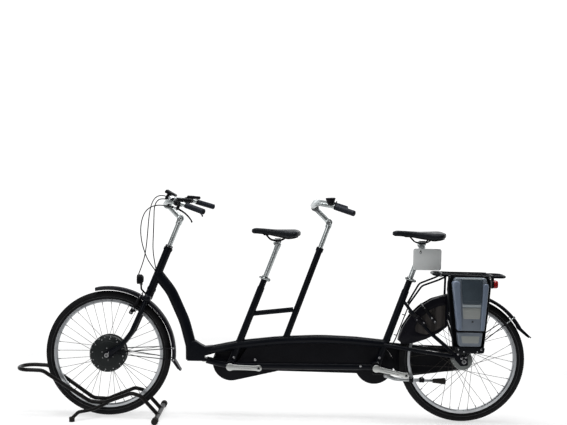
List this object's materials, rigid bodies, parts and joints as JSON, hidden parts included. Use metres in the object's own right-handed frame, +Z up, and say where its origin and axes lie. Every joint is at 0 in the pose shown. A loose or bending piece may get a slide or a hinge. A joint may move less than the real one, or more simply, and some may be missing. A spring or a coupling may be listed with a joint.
{
  "type": "electric tandem bicycle in a floor wheel stand",
  "caption": "Low-step electric tandem bicycle for a captain and a stoker, with a hub motor in the front wheel, enclosed chains, carrier battery and kickstand, parked in a floor wheel stand.",
  "frame": {"origin": "on the floor, under the middle of the overall length and width; the tyres and the stand's feet rest at Z = 0", "axes": "+X forward along the bicycle, +Y to the rider's left, +Z up"},
  "size_m": [2.6724, 0.6448, 1.1873],
  "materials": {
    "frame_black": "satin",
    "fork_black": "satin",
    "plastic_black": "satin",
    "guard_black": "satin",
    "coat_grey": "smoked, satin",
    "case_black": "satin",
    "tyre_black": "matt",
    "rim_alu": "brushed",
    "spoke_steel": "satin",
    "hub_dark": "satin",
    "hub_alu": "satin",
    "axle_steel": "satin",
    "alu_silver": "satin",
    "crank_alu": "satin",
    "saddle_black": "satin",
    "grip_rubber": "matt",
    "battery_silver": "satin",
    "holder_black": "satin",
    "light_black": "gloss",
    "stand_black": "satin",
    "stand_rubber": "matt",
    "tag_white": "satin",
    "cable_black": "satin"
  },
  "bodies": {
    "frame": {"head_tube": "frame_black", "down_tube": "frame_black", "upper_beam": "frame_black", "lower_beam": "frame_black", "bottom_brackets": "frame_black", "seat_tubes": "frame_black", "stoker_mast": "frame_black", "link_tube": "frame_black", "beam_panel": "case_black", "rear_stays": "frame_black", "rear_axle": "axle_steel", "chain_case": "case_black", "drive_case": "case_black", "rear_mudguard": "guard_black", "coat_guards": "coat_grey", "ring_lock": "plastic_black", "rear_brake": "plastic_black", "carrier": "frame_black", "battery_holder": "holder_black", "battery_pack": "battery_silver", "tail_light": "light_black", "seat_posts": "alu_silver", "captain_saddle": "saddle_black", "stoker_saddle": "saddle_black", "stoker_stem": "alu_silver", "stoker_handlebar": "alu_silver", "stoker_grips": "grip_rubber", "bell": "plastic_black", "kickstand_bracket": "plastic_black", "blank_tag": "tag_white"},
    "steering": {"fork": "fork_black", "front_axle": "axle_steel", "front_mudguard": "guard_black", "headlight": "light_black", "front_brake": "plastic_black", "captain_stem": "alu_silver", "captain_handlebar": "alu_silver", "captain_grips": "grip_rubber", "brake_levers": "plastic_black", "display": "plastic_black", "wheel_stand": "stand_black", "stand_feet": "stand_rubber", "bar_switches": "plastic_black", "control_cables": "cable_black"},
    "front_wheel": {"front_tyre": "tyre_black", "front_rim": "rim_alu", "hub_motor": "hub_dark", "front_spokes": "spoke_steel"},
    "rear_wheel": {"rear_tyre": "tyre_black", "rear_rim": "rim_alu", "rear_hub": "hub_alu", "rear_spokes": "spoke_steel"},
    "rear_cranks": {"rear_crankset": "crank_alu", "rear_spindle": "axle_steel"},
    "front_cranks": {"front_crankset": "crank_alu", "front_spindle": "axle_steel"},
    "kickstand": {"kickstand_leg": "alu_silver", "kickstand_foot": "plastic_black"}
  },
  "joints": [
    {"name": "steering", "type": "hinge", "parent": "frame", "child": "steering", "pos_m": [0.60125, 0, 0.768], "axis": [-0.3682, 0, 0.9298], "range_deg": [-45, 45]},
    {"name": "front_wheel_spin", "type": "hinge", "parent": "steering", "child": "front_wheel", "pos_m": [0.86125, 0, 0.3265], "axis": [0, 1, 0], "continuous": true},
    {"name": "rear_wheel_spin", "type": "hinge", "parent": "frame", "child": "rear_wheel", "pos_m": [-0.97975, 0, 0.3265], "axis": [0, 1, 0], "continuous": true},
    {"name": "rear_crank_spin", "type": "hinge", "parent": "frame", "child": "rear_cranks", "pos_m": [-0.52875, 0, 0.286], "axis": [0, 1, 0], "continuous": true},
    {"name": "front_crank_spin", "type": "hinge", "parent": "frame", "child": "front_cranks", "pos_m": [0.22325, 0, 0.281], "axis": [0, 1, 0], "continuous": true},
    {"name": "kickstand_fold", "type": "hinge", "parent": "frame", "child": "kickstand", "pos_m": [-0.58175, 0.058, 0.246], "axis": [0, -1, 0], "range_deg": [0, 125]}
  ],
  "couplings": [
    {"joint": "front_crank_spin", "follows": "rear_crank_spin", "ratio": 1}
  ]
}
